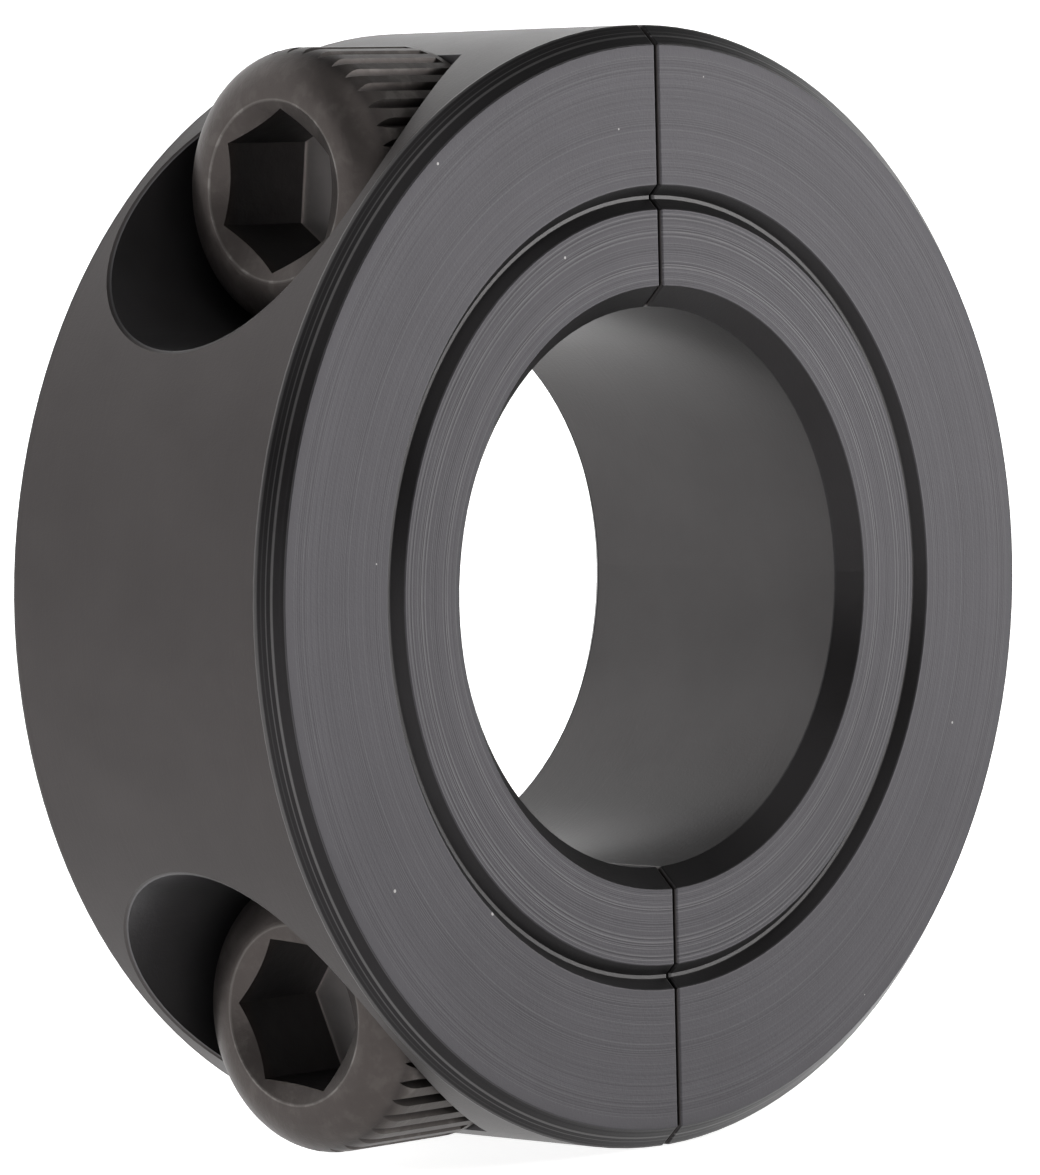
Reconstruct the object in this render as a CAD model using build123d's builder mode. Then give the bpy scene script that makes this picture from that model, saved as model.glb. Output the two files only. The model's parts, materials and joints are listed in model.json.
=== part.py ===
from math import radians, sqrt, tan
import os

from build123d import *

# ---- driving dimensions, in millimetres ----
# The collar: the bore axis is Y, the screw axes run along X and the halves part at X = 0.
bore_diameter = 19.05
outer_diameter = 38.1
collar_width = 12.7
split_gap = 0.1
outer_chamfer = 0.7
bore_chamfer = 0.72
split_edge_round = 0.12

# The V groove turned in the front face marks the side that was faced with the bore.
groove_distance = 3.7
groove_width = 0.85
groove_floor = 0.12
groove_depth = 0.37

# The screws: 1/4-28 UNF socket head cap screws, 5/8 in under the head.
bearing_depth = 5.75
thread_diameter = 6.35
thread_pitch = 25.4 / 28
thread_run_in = 1  # turns left plain under the head
thread_run_out = 2  # turns that the cutting shapes run past the end
screw_length = 15.875
head_diameter = 9.525
head_height = 6.35
head_round = 1.6
head_foot_chamfer = 0.2
neck_fillet = 0.3
socket_size = 4.7625
socket_depth = 3.9
socket_mouth_lip = 0.275
socket_mouth_angle = 120
tip_chamfer = 0.6
upper_socket_turn = 36
lower_socket_turn = 5

# The straight knurl on the heads.
knurl_count = 40
knurl_depth = 0.2
knurl_angle = 90
knurl_foot_distance = 0.45
knurl_face_distance = 0.6

# The holes in the halves. The bore wall is between the bore and the screw holes.
bore_wall = 0.85
counterbore_clearance = 0.38
counterbore_edge = 0.1
hole_clearance = 0.2
hole_mouth_chamfer = 0.45
thread_clearance = 0.05
tapped_mouth_chamfer = 0.35

# The nylon strips that lock the threads.
strip_width = 1.2
strip_length = 5.0
strip_thickness = 0.8
strip_tip_distance = 1.8
strip_clearance = 0.08

# ---- derived sizes ----
bore_radius = bore_diameter / 2
outer_radius = outer_diameter / 2
half_width = collar_width / 2
groove_radius = bore_radius + groove_distance
bearing_x = -bearing_depth
head_radius = head_diameter / 2
counterbore_radius = head_radius + counterbore_clearance
thread_radius = thread_diameter / 2
knurl_length = head_height - knurl_foot_distance - knurl_face_distance
knurl_half_width = 2 * knurl_depth * tan(radians(knurl_angle / 2))
hole_radius = thread_radius + hole_clearance
screw_offset = bore_radius + bore_wall + hole_radius
# The head bears on the ring between the hole's mouth and the chamfer at the head's foot.
bearing_ring = head_radius - head_foot_chamfer - hole_radius
hole_mouth = hole_radius + min(hole_mouth_chamfer, bearing_ring / 2)
socket_mouth_radius = socket_size / sqrt(3) + socket_mouth_lip
# Unified thread form: a sharp V of 60 degrees, cut short at both ends.
sharp_height = thread_pitch * sqrt(3) / 2
external_root = thread_radius - 17 / 24 * sharp_height
internal_crest = thread_radius - 5 / 8 * sharp_height
strip_top = internal_crest - strip_clearance
strip_floor = strip_top - strip_thickness
strip_start_x = bearing_x + screw_length - strip_tip_distance - strip_length
beyond = outer_radius + 1


def ring_section():
    """One side of the ring's section, with the radius along X and the width along Y."""
    front = -half_width
    back = half_width
    Polygon(
        (bore_radius + bore_chamfer, front),
        (groove_radius - groove_width / 2, front),
        (groove_radius - groove_floor / 2, front + groove_depth),
        (groove_radius + groove_floor / 2, front + groove_depth),
        (groove_radius + groove_width / 2, front),
        (outer_radius - outer_chamfer, front),
        (outer_radius, front + outer_chamfer),
        (outer_radius, back - outer_chamfer),
        (outer_radius - outer_chamfer, back),
        (bore_radius + bore_chamfer, back),
        (bore_radius, back - bore_chamfer),
        (bore_radius, front + bore_chamfer),
        align=None,
    )


def across(x, height):
    """A plane across the screw axis at this height, facing the screw's tip."""
    return Plane(origin=(x, 0, height), x_dir=(0, 1, 0), z_dir=(1, 0, 0))


def along(height):
    """The plane through the screw axis, with its origin under the head."""
    return Plane(origin=(bearing_x, 0, height), x_dir=(1, 0, 0), z_dir=(0, 0, 1))


def screw_axis(height):
    return Axis((bearing_x, 0, height), (1, 0, 0))


def thread_rib(height, first_turn, turns, root, crest, clearance):
    """One helical rib of the thread; the turns count from under the head, so all ribs are in step."""
    start = bearing_x + first_turn * thread_pitch
    root_half = (thread_radius + sharp_height / 8 - root) / sqrt(3) + clearance
    crest_half = (thread_radius + sharp_height / 8 - crest) / sqrt(3) + clearance
    with BuildPart() as rib:
        with BuildLine() as path:
            Helix(
                pitch=thread_pitch,
                height=turns * thread_pitch,
                radius=root,
                center=(start, 0, height),
                direction=(1, 0, 0),
            )
        outward = (path.line @ 0) - Vector(start, 0, height)
        section_plane = Plane(origin=path.line @ 0, x_dir=outward, z_dir=outward.cross(Vector(1, 0, 0)))
        with BuildSketch(section_plane):
            Polygon(
                (0, -root_half),
                (crest - root, -crest_half),
                (crest - root, crest_half),
                (0, root_half),
                align=None,
            )
        sweep(path=path.line, is_frenet=True)
    return rib.part


def split_outline(half):
    """The edges round a half's two split faces."""
    split_faces = half.faces().filter_by(Axis.X)
    return [edge for face in split_faces for edge in face.outer_wire().edges()]


screw_heights = (screw_offset, -screw_offset)

# ---- the half that the screw heads sit in ----
with BuildPart() as counterbored_half:
    with BuildSketch(Plane.XY):
        ring_section()
    revolve(axis=Axis.Y)
    split(bisect_by=Plane.YZ.offset(-split_gap / 2), keep=Keep.BOTTOM)
    fillet(split_outline(counterbored_half), radius=split_edge_round)
    for height in screw_heights:
        with BuildSketch(across(-beyond, height)):
            Circle(counterbore_radius)
        extrude(amount=beyond - bearing_depth, mode=Mode.SUBTRACT)
        chamfer(edges(Select.LAST).filter_by(GeomType.BSPLINE), length=counterbore_edge)
        with BuildSketch(across(bearing_x, height)):
            Circle(hole_radius)
        extrude(amount=bearing_depth, mode=Mode.SUBTRACT)
        # The hole's mouth is eased, to clear the fillet under the head.
        with BuildSketch(along(height)):
            Polygon(
                (0, 0),
                (0, hole_mouth),
                (hole_mouth, 0),
                align=None,
            )
        revolve(axis=screw_axis(height), mode=Mode.SUBTRACT)


# ---- the half that the screws are driven into ----
def tapped_quarter(height, kept_side):
    """The part of the tapped half on one side of the bore, with its tapped hole at this height."""
    first_turn = int((bearing_depth - thread_pitch) / thread_pitch)
    exit_x = sqrt(outer_radius**2 - (screw_offset - thread_radius) ** 2)
    turns = int((exit_x + bearing_depth) / thread_pitch) + thread_run_out - first_turn
    thread = thread_rib(
        height,
        first_turn,
        turns,
        internal_crest - thread_clearance,
        thread_radius + thread_clearance,
        thread_clearance / 2,
    )
    mouth_radius = thread_radius + tapped_mouth_chamfer
    mouth_base = bearing_depth + split_gap / 2
    with BuildPart() as quarter:
        with BuildSketch(Plane.XY):
            ring_section()
        revolve(axis=Axis.Y)
        split(bisect_by=Plane.YZ.offset(split_gap / 2), keep=Keep.TOP)
        fillet(split_outline(quarter), radius=split_edge_round)
        split(bisect_by=Plane.XY, keep=kept_side)
        with BuildSketch(across(0, height)):
            Circle(internal_crest)
        extrude(amount=beyond, mode=Mode.SUBTRACT)
        add(thread, mode=Mode.SUBTRACT)
        with BuildSketch(along(height)):
            Polygon(
                (mouth_base, 0),
                (mouth_base, mouth_radius),
                (mouth_base + mouth_radius, 0),
                align=None,
            )
        revolve(axis=screw_axis(height), mode=Mode.SUBTRACT)
    return quarter.part


upper_quarter = tapped_quarter(screw_offset, Keep.TOP)
lower_quarter = tapped_quarter(-screw_offset, Keep.BOTTOM)
with BuildPart() as tapped_half:
    add(upper_quarter)
    add(lower_quarter)


def screw_thread(height):
    """A screw's thread, cut off at its chamfered tip."""
    turns = int(screw_length / thread_pitch)
    whole_rib = thread_rib(
        height,
        thread_run_in,
        turns,
        external_root - thread_clearance,
        thread_radius - thread_clearance / 2,
        -thread_clearance / 2,
    )
    past_tip = screw_length + thread_run_out * thread_pitch
    with BuildPart() as thread:
        add(whole_rib)
        with BuildSketch(along(height)):
            Polygon(
                (screw_length, 0),
                (screw_length, thread_radius - tip_chamfer),
                (screw_length - tip_chamfer, thread_radius),
                (screw_length - tip_chamfer, thread_diameter),
                (past_tip, thread_diameter),
                (past_tip, 0),
                align=None,
            )
        revolve(axis=screw_axis(height), mode=Mode.SUBTRACT)
    return thread.part


def clamp_screw(height, socket_turn):
    """A socket head cap screw on its axis at this height, with its socket turned by this angle."""
    thread = screw_thread(height)
    with BuildPart() as screw:
        # The turned outline, from the head's face to the tip.
        with BuildSketch(along(height)):
            with BuildLine():
                Polyline((screw_length, 0), (-head_height, 0), (-head_height, head_radius - head_round))
                RadiusArc(
                    (-head_height, head_radius - head_round),
                    (-head_height + head_round, head_radius),
                    head_round,
                )
                Polyline(
                    (-head_height + head_round, head_radius),
                    (-head_foot_chamfer, head_radius),
                    (0, head_radius - head_foot_chamfer),
                    (0, external_root + neck_fillet),
                )
                RadiusArc((0, external_root + neck_fillet), (neck_fillet, external_root), -neck_fillet)
                Polyline((neck_fillet, external_root), (screw_length, external_root), (screw_length, 0))
            make_face()
        revolve(axis=screw_axis(height))
        add(thread)
        with BuildSketch(across(strip_start_x, height)):
            with Locations((0, strip_floor)):
                Rectangle(strip_width, thread_radius, align=(Align.CENTER, Align.MIN))
        extrude(amount=strip_length, mode=Mode.SUBTRACT)

        # The knurl is a ring of V grooves along the side of the head.
        with BuildSketch(across(bearing_x - knurl_foot_distance, height)):
            with PolarLocations(head_radius, knurl_count):
                Polygon(
                    (-knurl_depth, 0),
                    (knurl_depth, knurl_half_width),
                    (knurl_depth, -knurl_half_width),
                    align=None,
                )
        extrude(amount=-knurl_length, mode=Mode.SUBTRACT)

        # The hexagon socket has a flat bottom and a countersunk mouth.
        face_x = bearing_x - head_height
        with BuildSketch(across(face_x, height)):
            RegularPolygon(socket_size / 2, 6, major_radius=False, rotation=socket_turn)
        extrude(amount=socket_depth, mode=Mode.SUBTRACT)
        mouth_height = socket_mouth_radius / tan(radians(socket_mouth_angle / 2))
        with BuildSketch(along(height)):
            Polygon(
                (-head_height, 0),
                (-head_height, socket_mouth_radius),
                (-head_height + mouth_height, 0),
                align=None,
            )
        revolve(axis=screw_axis(height), mode=Mode.SUBTRACT)
    return screw


def locking_strip(height):
    """The nylon strip in a screw's slot, with its top kept inside the tapped thread's crests."""
    with BuildPart() as strip:
        with BuildSketch(across(strip_start_x, height)):
            with Locations((0, strip_floor)):
                Rectangle(strip_width, thread_radius, align=(Align.CENTER, Align.MIN))
            Circle(strip_top, mode=Mode.INTERSECT)
        extrude(amount=strip_length)
    return strip


upper_clamp_screw = clamp_screw(screw_offset, upper_socket_turn)
lower_clamp_screw = clamp_screw(-screw_offset, lower_socket_turn)
upper_locking_strip = locking_strip(screw_offset)
lower_locking_strip = locking_strip(-screw_offset)

# ---- the six pieces, each in its own file ----
pieces = {
    "counterbored_half": counterbored_half,
    "tapped_half": tapped_half,
    "upper_clamp_screw": upper_clamp_screw,
    "lower_clamp_screw": lower_clamp_screw,
    "upper_locking_strip": upper_locking_strip,
    "lower_locking_strip": lower_locking_strip,
}
os.makedirs("parts", exist_ok=True)
for label, piece in pieces.items():
    piece.part.label = label
    export_step(piece.part, f"parts/{label}.step")
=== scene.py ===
import json
import math
import bmesh
import bpy
from mathutils import Matrix, Vector


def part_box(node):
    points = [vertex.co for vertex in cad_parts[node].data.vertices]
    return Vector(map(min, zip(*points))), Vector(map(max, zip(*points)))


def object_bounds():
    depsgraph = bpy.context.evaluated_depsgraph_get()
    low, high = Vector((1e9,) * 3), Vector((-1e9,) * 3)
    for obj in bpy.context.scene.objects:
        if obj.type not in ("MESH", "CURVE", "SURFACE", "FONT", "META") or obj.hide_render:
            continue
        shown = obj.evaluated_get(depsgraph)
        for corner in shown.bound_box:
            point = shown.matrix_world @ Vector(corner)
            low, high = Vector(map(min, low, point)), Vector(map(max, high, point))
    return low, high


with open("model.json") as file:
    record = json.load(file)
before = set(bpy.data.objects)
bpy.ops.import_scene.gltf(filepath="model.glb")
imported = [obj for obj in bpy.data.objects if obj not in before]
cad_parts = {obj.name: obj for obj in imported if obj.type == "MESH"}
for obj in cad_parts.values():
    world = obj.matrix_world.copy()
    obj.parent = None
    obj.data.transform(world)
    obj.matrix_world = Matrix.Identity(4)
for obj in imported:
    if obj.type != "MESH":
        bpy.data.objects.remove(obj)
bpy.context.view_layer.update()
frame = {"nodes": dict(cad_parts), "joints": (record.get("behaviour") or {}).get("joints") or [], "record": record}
mm = 0.001
print("frame loaded")


# shader maths: a wrapped socket that adds Math nodes when it is used in an expression
class Value:
    def __init__(self, shader, socket):
        self.shader = shader
        self.socket = socket

    def math(self, operation, *others):
        node = self.shader.node("ShaderNodeMath", {"operation": operation}, (self, *others))
        return Value(self.shader, node.outputs[0])

    def __add__(self, other):
        return self.math("ADD", other)

    def __radd__(self, other):
        return self.math("ADD", other)

    def __mul__(self, other):
        return self.math("MULTIPLY", other)

    def __rmul__(self, other):
        return self.math("MULTIPLY", other)

    def __sub__(self, other):
        return self.math("SUBTRACT", other)

    def __rsub__(self, other):
        return (self * -1.0).math("ADD", other)

    def __truediv__(self, other):
        return self.math("DIVIDE", other)

    def __pow__(self, other):
        return self.math("POWER", other)

    def __abs__(self):
        return self.math("ABSOLUTE")


class Shader:
    def __init__(self, name):
        self.material = bpy.data.materials.new(name)
        self.material.use_nodes = True
        self.tree = self.material.node_tree
        self.tree.nodes.clear()

    def node(self, kind, settings=None, inputs=()):
        made = self.tree.nodes.new(kind)
        for name, setting in (settings or {}).items():
            setattr(made, name, setting)
        pairs = inputs.items() if isinstance(inputs, dict) else enumerate(inputs)
        for key, value in pairs:
            if isinstance(value, Value):
                self.tree.links.new(value.socket, made.inputs[key])
            elif value is not None:
                made.inputs[key].default_value = value
        return made

    def value(self, kind, settings=None, inputs=(), output=0):
        return Value(self, self.node(kind, settings, inputs).outputs[output])

    def place(self):
        whole = self.value("ShaderNodeTexCoord", output="Object")
        parts = self.node("ShaderNodeSeparateXYZ", None, (whole,))
        return whole, [Value(self, part) for part in parts.outputs]

    def above(self, value, low, width):  # 0 up to low, then a smooth rise to 1
        settings = {"interpolation_type": "SMOOTHSTEP"}
        return self.value("ShaderNodeMapRange", settings, (value, low, low + width, 0.0, 1.0))

    def below(self, value, low, width):
        return 1.0 - self.above(value, low, width)

    def lines(self, along, pitch, detail, rough):
        settings = {"noise_dimensions": "1D"}
        inputs = {"W": along / pitch, "Scale": 1.0, "Detail": detail, "Roughness": rough}
        return self.value("ShaderNodeTexNoise", settings, inputs)

    def noise(self, place, size, detail, rough):
        inputs = {"Vector": place, "Scale": 1.0 / size, "Detail": detail, "Roughness": rough}
        return self.value("ShaderNodeTexNoise", None, inputs)

    def blend(self, share, first, second):
        inputs = {"Factor": share, 6: first, 7: second}
        return self.value("ShaderNodeMix", {"data_type": "RGBA"}, inputs, 2)

    def shade(self, colour, tone):
        inputs = {0: colour, "Scale": tone}
        return self.value("ShaderNodeVectorMath", {"operation": "SCALE"}, inputs)

    def bump(self, height, distance, strength=1.0, after=None):
        inputs = {"Height": height, "Distance": distance, "Strength": strength, "Normal": after}
        return self.value("ShaderNodeBump", None, inputs)

    def finish(self, inputs):
        surface = self.value("ShaderNodeBsdfPrincipled", None, inputs)
        self.node("ShaderNodeOutputMaterial", None, (surface,))
        return self.material


# the collar's own measures, from the frame where it has them
lowFrame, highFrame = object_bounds()
mounts = {mount["name"]: mount for mount in frame["record"]["mounts"]}
screwJoint = next(joint for joint in frame["joints"] if joint["name"] == "upper_screw_turn")
lowHead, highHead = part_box("upper_clamp_screw")
collar = {
    "outerRadius": highFrame.z,
    "halfWidth": highFrame.y,
    "boreRadius": mounts["shaft_bore"]["dims"]["r_mm"] * mm,
    "screwHeight": screwJoint["pos_m"][2],
    "headFace": lowHead.x,
    "headRadius": highHead.y,
    "seat": screwJoint["pos_m"][0],
    "grooveRadius": 13.225 * mm,
    "grooveHalfWidth": 0.425 * mm,
    "counterboreRadius": 5.16 * mm,
    "drillingRadius": 3.40 * mm,
    "outerChamfer": 0.7 * mm,
    "boreChamfer": 0.72 * mm,
    "socketMouth": 3.025 * mm,
    "socketCorner": 2.80 * mm,
    "socketDepth": 3.9 * mm,
}
softEdge = 0.03 * mm  # how softly one finish gives way to the next


def blackOxideCollar():
    s = Shader("black oxide collar")
    look = {
        "faceColour": (0.058, 0.0555, 0.060, 1.0),
        "rimColour": (0.054, 0.049, 0.0485, 1.0),
        "boreColour": (0.060, 0.057, 0.057, 1.0),
        "deepColour": (0.0165, 0.016, 0.017, 1.0),  # painted shade on the chamfers and groove; also the dark turned lines
        # painted light: the screw holes are coloured lighter than the faces, standing in for light that reaches
        # into them
        "holeColour": (0.095, 0.092, 0.095, 1.0),
        # light turned lines, and painted highlights: glints on the chamfers, lines along the rim's edge and the
        # groove's floor
        "lineColour": (0.14, 0.136, 0.136, 1.0),
        "speckColour": (0.32, 0.31, 0.30, 1.0),
        "ringPitch": 0.075 * mm,
        "coarsePitch": 0.7 * mm,
        "chamferPitch": 0.22 * mm,
        "rimPitch": 0.16 * mm,
        "patchSize": 3.5 * mm,
        "breakSize": 1.6 * mm,
        "grainSize": 0.09 * mm,
        "speckSpacing": 1.5 * mm,
        "lineHeight": 0.018 * mm,
        "grainHeight": 0.004 * mm,
        "rimLineHeight": 0.12,  # against the lines on the end faces
        "chamferLineHeight": 1.2,
        "metallic": 0.92,
        "tone": 0.72,
        "patchTone": 0.36,
        "coarseTone": 0.2,
        "roughness": 0.33,
        "patchRoughness": 0.10,
        "grainRoughness": 0.05,
        "endRoughness": 0.09,
        "boreSmoothness": 0.06,
        # how far each finish reaches past the shape's own edges, and fades in
        "wallReach": 0.01 * mm,
        "endReach": 0.05 * mm,
        "coneReach": 0.08 * mm,
        "coneFade": 0.05 * mm,
        "grooveReach": 0.50 * mm,
        "grooveFade": 0.08 * mm,
        "floorHalfWidth": 0.05 * mm,
        "floorFade": 0.04 * mm,
        "ringFade": 0.3 * mm,
        "rimReach": 0.07 * mm,
        "rimFade": 0.04 * mm,
        "rimConeReach": 0.10 * mm,
        "rimConeFade": 0.07 * mm,
        # which of the turned lines and glints show, from lines that run from 0 to 1
        "lightFrom": 0.52,
        "lightFade": 0.20,
        "darkUpTo": 0.30,
        "darkFade": 0.16,
        "glintFade": 0.12,
        "unbroken": 0.35,
        "breakStrength": 1.3,
        # the nicks' sizes, as shares of the speck spacing
        "nickRange": 0.065,
        "nickLimit": 0.026,
        "nickFade": 0.012,
        # how much of each layer's colour shows
        "faceLinesShare": 0.28,
        "innerLinesShare": 0.36,
        "lightLinesShare": 0.55,
        "darkLinesShare": 0.6,
        # painted shade in the groove and on both chamfers
        "grooveShare": 0.85,
        "chamferShare": 0.85,
        "boreChamferShare": 0.8,
        "chamferGlintsShare": 0.6,
        # painted highlight along the rim's edge
        "rimEdgeShare": 0.5,
        # painted highlight along the groove's floor
        "grooveFloorShare": 0.45,
        "nicksShare": 0.8,
    }
    place, (x, y, z) = s.place()
    radius = (x * x + z * z) ** 0.5
    side = abs(y)

    # the screw holes: counterbores on the head side of the seat, drillings past it
    fromAxis = ((abs(z) - collar["screwHeight"]) ** 2.0 + y * y) ** 0.5
    headSide = s.below(x, collar["seat"] + look["wallReach"], softEdge)
    inCounterbore = s.below(fromAxis, collar["counterboreRadius"], softEdge)
    inDrilling = s.below(fromAxis, collar["drillingRadius"], softEdge)
    inHole = inCounterbore * headSide + inDrilling * (1.0 - headSide)

    # the ends, the chamfers, the groove and the bore
    onEnd = s.above(side, collar["halfWidth"] - look["endReach"], softEdge)
    offEnd = 1.0 - onEnd
    outerCorner = collar["outerRadius"] + collar["halfWidth"] - collar["outerChamfer"]
    outerCone = radius + side - outerCorner
    onChamfer = s.above(outerCone, -look["coneReach"], look["coneFade"]) * offEnd
    boreCorner = collar["halfWidth"] - collar["boreRadius"] - collar["boreChamfer"]
    boreCone = side - radius - boreCorner
    onBoreChamfer = s.above(boreCone, -look["coneReach"], look["coneFade"]) * offEnd
    fromGroove = abs(radius - collar["grooveRadius"])
    grooveDeep = collar["halfWidth"] - look["grooveReach"]
    nearFront = s.above(-1.0 * y, grooveDeep, look["grooveFade"])
    inGroove = s.below(fromGroove, collar["grooveHalfWidth"], softEdge) * nearFront * offEnd
    # a thin line along the groove's floor, painted as a highlight
    grooveFloor = inGroove * s.below(fromGroove, look["floorHalfWidth"], look["floorFade"])
    inBore = s.below(radius, collar["boreRadius"] + look["wallReach"], softEdge)
    ringEnd = collar["grooveRadius"] - look["ringFade"]
    innerRing = s.below(radius, ringEnd, look["ringFade"])
    # a thin line along the rim's edge, painted as a highlight
    rimStart = collar["outerRadius"] - look["rimReach"]
    rimEdge = s.above(radius, rimStart, look["rimFade"])
    rimEdge = rimEdge * s.above(outerCone, -look["rimConeReach"], look["rimConeFade"])

    # turned lines, fine and close, stronger inside the groove
    turned = s.lines(radius, look["ringPitch"], 2.0, 0.65)
    coarse = s.lines(radius, look["coarsePitch"], 2.0, 0.5)
    chamferLines = s.lines(radius - side, look["chamferPitch"], 1.0, 0.5)
    rimLines = s.lines(y, look["rimPitch"], 2.0, 0.6)
    patches = s.noise(place, look["patchSize"], 3.0, 0.55)
    breaks = s.noise(place, look["breakSize"], 2.0, 0.6)
    grain = s.noise(place, look["grainSize"], 2.0, 0.6)
    lineStrength = look["faceLinesShare"] + innerRing * look["innerLinesShare"]
    broken = look["unbroken"] + breaks * look["breakStrength"]
    lineShare = onEnd * lineStrength * broken
    lightLines = s.above(turned, look["lightFrom"], look["lightFade"]) * lineShare
    darkLines = s.below(turned, look["darkUpTo"], look["darkFade"]) * lineShare
    chamferGlints = onChamfer * s.above(chamferLines, look["lightFrom"], look["glintFade"])

    # a few bright nicks where the finish is knocked off
    inputs = {"Vector": place, "Scale": 1.0 / look["speckSpacing"]}
    specks = s.node("ShaderNodeTexVoronoi", {"feature": "F1"}, inputs)
    fromSpeck = Value(s, specks.outputs["Distance"])
    chance = s.value("ShaderNodeSeparateColor", None, (Value(s, specks.outputs["Color"]),))
    speckSize = chance * look["nickRange"] - look["nickLimit"]
    nick = s.below(fromSpeck - speckSize, 0.0, look["nickFade"]) * onEnd

    colour = s.blend(onEnd, look["rimColour"], look["faceColour"])
    layers = [
        (inBore, "boreColour"),
        (lightLines * look["lightLinesShare"], "lineColour"),
        (darkLines * look["darkLinesShare"], "deepColour"),
        # painted shade in the groove and on both chamfers
        (inGroove * look["grooveShare"], "deepColour"),
        (onChamfer * look["chamferShare"], "deepColour"),
        (onBoreChamfer * look["boreChamferShare"], "deepColour"),
        # painted light inside the screw holes
        (inHole, "holeColour"),
        (chamferGlints * look["chamferGlintsShare"], "lineColour"),
        # painted highlight along the rim's edge
        (rimEdge * look["rimEdgeShare"], "lineColour"),
        # painted highlight along the groove's floor
        (grooveFloor * look["grooveFloorShare"], "lineColour"),
        (nick * look["nicksShare"], "speckColour"),
    ]
    for share, name in layers:
        colour = s.blend(share, colour, look[name])
    height = turned * lineShare + chamferLines * onChamfer * look["chamferLineHeight"]
    height = height + rimLines * offEnd * look["rimLineHeight"]
    normal = s.bump(height, look["lineHeight"])
    tone = look["tone"] + patches * look["patchTone"] + coarse * onEnd * look["coarseTone"]
    roughness = look["roughness"] + patches * look["patchRoughness"]
    roughness = roughness + grain * look["grainRoughness"] + onEnd * look["endRoughness"]
    roughness = roughness - inBore * look["boreSmoothness"]
    return s.finish({
        "Base Color": s.shade(colour, tone),
        "Roughness": roughness,
        "Metallic": look["metallic"],
        "Normal": s.bump(grain, look["grainHeight"], 1.0, normal),
    })


def blackOxideScrew(height):
    s = Shader("black oxide screw " + ("upper" if height > 0 else "lower"))
    look = {
        "colour": (0.060, 0.052, 0.049, 1.0),
        # painted shade in the knurl's valleys
        "deepColour": (0.014, 0.013, 0.013, 1.0),
        "socketColour": (0.055, 0.052, 0.052, 1.0),
        # painted light: a bright pool on the socket's floor
        "floorColour": (0.46, 0.43, 0.42, 1.0),
        # lighter colour for worn patches and for the knurl's crests; on the crests it is partly painted highlight
        "crestColour": (0.13, 0.120, 0.113, 1.0),
        # lighter edge of the socket's mouth: partly painted highlight, partly wear
        "edgeColour": (0.15, 0.140, 0.133, 1.0),
        "patchSize": 0.8 * mm,
        "dentSize": 0.5 * mm,
        "grainSize": 0.08 * mm,
        "dentHeight": 0.05 * mm,
        "dentStrength": 0.35,
        "grainHeight": 0.006 * mm,
        "metallic": 0.9,
        "tone": 0.8,
        "patchTone": 0.4,
        "roughness": 0.38,
        "patchRoughness": 0.14,
        "wornFrom": 0.50,
        "wornFade": 0.16,
        # where each finish starts and how far it takes to fade in
        "crestReach": 0.09 * mm,
        "crestFade": 0.07 * mm,
        "valleyReach": 0.18 * mm,
        "valleyFade": 0.12 * mm,
        "knurlStart": 0.6 * mm,
        "knurlFade": 0.5 * mm,
        "mouthHalfWidth": 0.02 * mm,
        "mouthFade": 0.05 * mm,
        "socketStart": 0.30 * mm,
        "socketFade": 0.6 * mm,
        "cornerFade": 0.10 * mm,
        "aboveFloor": 0.10 * mm,
        "aboveFloorFade": 0.06 * mm,
        "belowFloor": 0.04 * mm,
        # how much of each layer's colour shows
        "wearShare": 0.12,
        "valleyShare": 0.6,
        "crestShare": 0.25,
        "wornCrestShare": 0.4,
        "mouthShare": 0.4,
        "wornMouthShare": 0.6,
    }
    place, (x, y, z) = s.place()
    across = ((z - height) ** 2.0 + y * y) ** 0.5
    depth = x - collar["headFace"]
    patches = s.noise(place, look["patchSize"], 3.0, 0.6)
    dents = s.noise(place, look["dentSize"], 2.0, 0.5)
    grain = s.noise(place, look["grainSize"], 2.0, 0.6)
    wear = s.above(patches, look["wornFrom"], look["wornFade"])

    # the knurl's crests and valleys, the socket's mouth, its walls and its floor
    crest = s.above(across, collar["headRadius"] - look["crestReach"], look["crestFade"])
    valley = s.below(across, collar["headRadius"] - look["valleyReach"], look["valleyFade"])
    valley = valley * s.above(depth, look["knurlStart"], look["knurlFade"])
    fromMouth = abs(across - collar["socketMouth"])
    mouthEdge = s.below(fromMouth, look["mouthHalfWidth"], look["mouthFade"])
    mouthEdge = mouthEdge * s.below(depth, look["mouthFade"], look["mouthFade"])
    withinSocket = s.below(across, collar["socketCorner"], look["cornerFade"])
    inSocket = withinSocket * s.above(depth, look["socketStart"], look["socketFade"])
    floorTop = collar["socketDepth"] - look["aboveFloor"]
    floorBottom = collar["socketDepth"] + look["belowFloor"]
    # where the socket's floor gets its painted light
    paintedFloorLight = s.above(depth, floorTop, look["aboveFloorFade"])
    paintedFloorLight = paintedFloorLight * s.below(depth, floorBottom, look["belowFloor"])

    colour = s.blend(wear * look["wearShare"], look["colour"], look["crestColour"])
    layers = [
        # painted shade in the knurl's valleys
        (valley * look["valleyShare"], "deepColour"),
        # the knurl's crests: painted highlight, stronger where worn
        (crest * (look["crestShare"] + wear * look["wornCrestShare"]), "crestColour"),
        # the socket's mouth: painted highlight, stronger where worn
        (mouthEdge * (look["mouthShare"] + wear * look["wornMouthShare"]), "edgeColour"),
        (inSocket, "socketColour"),
        # painted light on the socket's floor
        (paintedFloorLight * withinSocket, "floorColour"),
    ]
    for share, name in layers:
        colour = s.blend(share, colour, look[name])
    normal = s.bump(dents, look["dentHeight"], look["dentStrength"])
    return s.finish({
        "Base Color": s.shade(colour, patches * look["patchTone"] + look["tone"]),
        "Roughness": look["roughness"] + patches * look["patchRoughness"],
        "Metallic": look["metallic"],
        "Normal": s.bump(grain, look["grainHeight"], 1.0, normal),
    })


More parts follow.
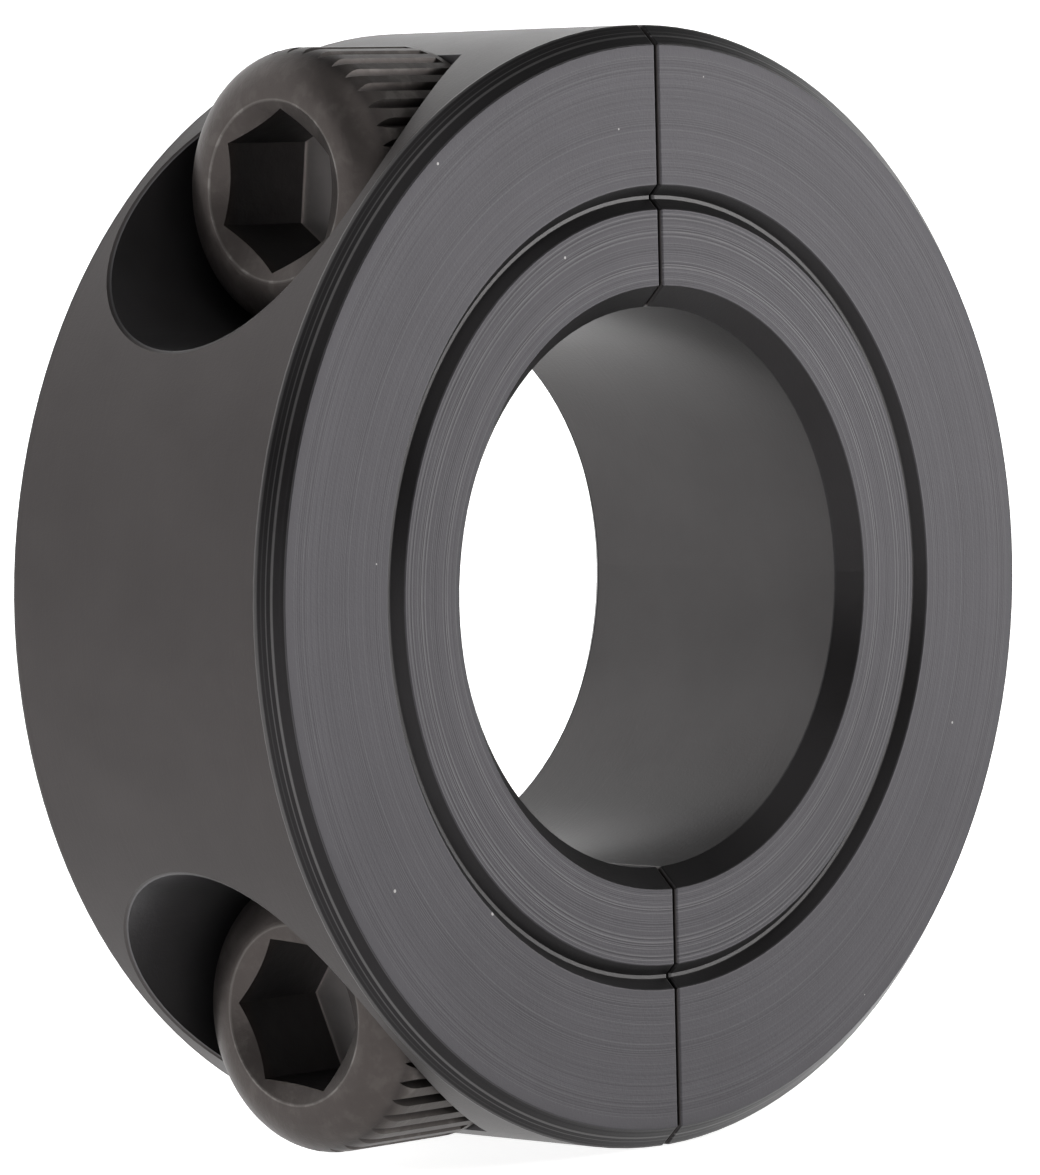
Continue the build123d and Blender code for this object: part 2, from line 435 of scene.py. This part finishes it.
def blueNylon():
    s = Shader("blue nylon")
    look = {
        "darkColour": (0.05, 0.16, 0.42, 1.0),
        "lightColour": (0.09, 0.25, 0.55, 1.0),
        "mottleSize": 0.5 * mm,
        "mottleHeight": 0.02 * mm,
        "roughness": 0.5,
        "mottleRoughness": 0.2,
    }
    place, parts = s.place()
    mottle = s.noise(place, look["mottleSize"], 3.0, 0.6)
    return s.finish({
        "Base Color": s.blend(mottle, look["darkColour"], look["lightColour"]),
        "Roughness": look["roughness"] + mottle * look["mottleRoughness"],
        "Normal": s.bump(mottle, look["mottleHeight"]),
    })


finishes = {
    "counterbored_half": blackOxideCollar(),
    "upper_clamp_screw": blackOxideScrew(collar["screwHeight"]),
    "lower_clamp_screw": blackOxideScrew(-collar["screwHeight"]),
    "upper_locking_strip": blueNylon(),
}
finishes["tapped_half"] = finishes["counterbored_half"]
finishes["lower_locking_strip"] = finishes["upper_locking_strip"]
for nodeName, finish in finishes.items():
    for slot in frame["nodes"][nodeName].material_slots:
        slot.material = finish
print("finishes made")


# the studio: a pale floor that curves up behind the collar and has a low wall in front,
# softboxes around it and a dim room
def pushedOut(bm, edges, move):
    made = bmesh.ops.extrude_edge_only(bm, edges=edges)["geom"]
    verts = [part for part in made if isinstance(part, bmesh.types.BMVert)]
    bmesh.ops.translate(bm, verts=verts, vec=move)
    return verts, [part for part in made if isinstance(part, bmesh.types.BMEdge)]


def paleSweep():
    sizes = {
        "halfWidth": 7.0,
        "front": -2.2,
        "back": 1.6,
        "curve": 0.5,
        "wall": 2.0,
        "frontWall": 0.24,
        "steps": 16,
        "mottle": 0.05,
        "darkColour": (0.90, 0.90, 0.90, 1.0),
        "lightColour": (0.92, 0.92, 0.92, 1.0),
        "roughness": 0.8,
        "glow": 0.88,
    }
    ground = lowFrame.z
    bm = bmesh.new()
    sides = (-sizes["halfWidth"], sizes["halfWidth"])
    frontEdge = bm.edges.new([bm.verts.new((x, sizes["front"], ground)) for x in sides])
    backVerts, backEdge = pushedOut(bm, [frontEdge], (0.0, sizes["back"] - sizes["front"], 0.0))
    pushedOut(bm, [frontEdge], (0.0, 0.0, sizes["frontWall"]))
    bend = bmesh.ops.spin(
        bm,
        geom=backEdge + backVerts,
        cent=(0.0, sizes["back"], ground + sizes["curve"]),
        axis=(1.0, 0.0, 0.0),
        dvec=(0.0, 0.0, 0.0),
        angle=math.radians(90.0),
        steps=sizes["steps"],
    )
    topEdge = [part for part in bend["geom_last"] if isinstance(part, bmesh.types.BMEdge)]
    pushedOut(bm, topEdge, (0.0, 0.0, sizes["wall"]))
    bmesh.ops.remove_doubles(bm, verts=bm.verts, dist=1e-5)
    bmesh.ops.recalc_face_normals(bm, faces=bm.faces)
    mesh = bpy.data.meshes.new("floor")
    bm.to_mesh(mesh)
    bm.free()
    for face in mesh.polygons:
        face.use_smooth = True
    floor = bpy.data.objects.new("floor", mesh)
    bpy.context.scene.collection.objects.link(floor)
    s = Shader("pale floor")
    place, parts = s.place()
    mottle = s.noise(place, sizes["mottle"], 2.0, 0.5)
    mesh.materials.append(s.finish({
        "Base Color": s.blend(mottle, sizes["darkColour"], sizes["lightColour"]),
        "Roughness": sizes["roughness"],
        "Emission Color": (1.0, 1.0, 1.0, 1.0),
        "Emission Strength": sizes["glow"],
    }))


def direction(azimuth, elevation):  # from the collar's centre; azimuth 0 faces its front
    a = math.radians(azimuth)
    e = math.radians(elevation)
    return Vector((math.sin(a) * math.cos(e), -math.cos(a) * math.cos(e), math.sin(e)))


def softbox(name, azimuth, elevation, distance, width, height, power):
    light = bpy.data.lights.new(name, "AREA")
    light.shape = "RECTANGLE"
    light.size = width
    light.size_y = height
    light.energy = power
    holder = bpy.data.objects.new(name, light)
    towards = direction(azimuth, elevation)
    turn = towards.to_track_quat("Z", "Y").to_matrix().to_4x4()
    holder.matrix_world = Matrix.Translation(towards * distance) @ turn
    bpy.context.scene.collection.objects.link(holder)


def studioLight():
    right = {"azimuth": 60.0, "elevation": 2.0, "distance": 0.9, "width": 0.7, "height": 0.9}
    top = {"azimuth": -25.0, "elevation": 58.0, "distance": 1.0, "width": 1.0, "height": 0.8}
    back = {"azimuth": -150.0, "elevation": 48.0, "distance": 1.3, "width": 1.4, "height": 0.8}
    softbox("right softbox", power=9.5, **right)
    softbox("top softbox", power=2.2, **top)
    softbox("back softbox", power=2.0, **back)
    world = bpy.data.worlds.new("room")
    world.use_nodes = True
    room = world.node_tree.nodes["Background"]
    room.inputs["Color"].default_value = (1.0, 1.0, 1.0, 1.0)
    room.inputs["Strength"].default_value = 0.20
    bpy.context.scene.world = world
    bpy.context.scene.view_settings.view_transform = "Standard"


def productCamera():
    setup = {
        "azimuth": -46.79,
        "elevation": 3.35,
        "roll": -1.33,
        "distance": 254.6 * mm,  # from the middle of the front face
        "right": 5.015 * mm,
        "up": -0.009 * mm,
        "lens": 230.23,
        "sensor": 36.0,
        "nearest": 0.01,
        "farthest": 20.0,
    }
    back = direction(setup["azimuth"], setup["elevation"])
    right = Vector((0.0, 0.0, 1.0)).cross(back).normalized()
    up = back.cross(right)
    roll = math.radians(setup["roll"])
    rolledRight = right * math.cos(roll) + up * math.sin(roll)
    rolledUp = up * math.cos(roll) - right * math.sin(roll)
    camera = bpy.data.cameras.new("camera")
    camera.lens = setup["lens"]
    camera.sensor_width = setup["sensor"]
    camera.clip_start = setup["nearest"]
    camera.clip_end = setup["farthest"]
    holder = bpy.data.objects.new("camera", camera)
    centre = back * setup["distance"] - rolledRight * setup["right"] - rolledUp * setup["up"]
    centre += Vector((0.0, lowFrame.y, 0.0))
    turn = Matrix((rolledRight, rolledUp, back)).transposed().to_4x4()
    holder.matrix_world = Matrix.Translation(centre) @ turn
    bpy.context.scene.collection.objects.link(holder)
    bpy.context.scene.camera = holder


paleSweep()
studioLight()
productCamera()
print("studio ready")
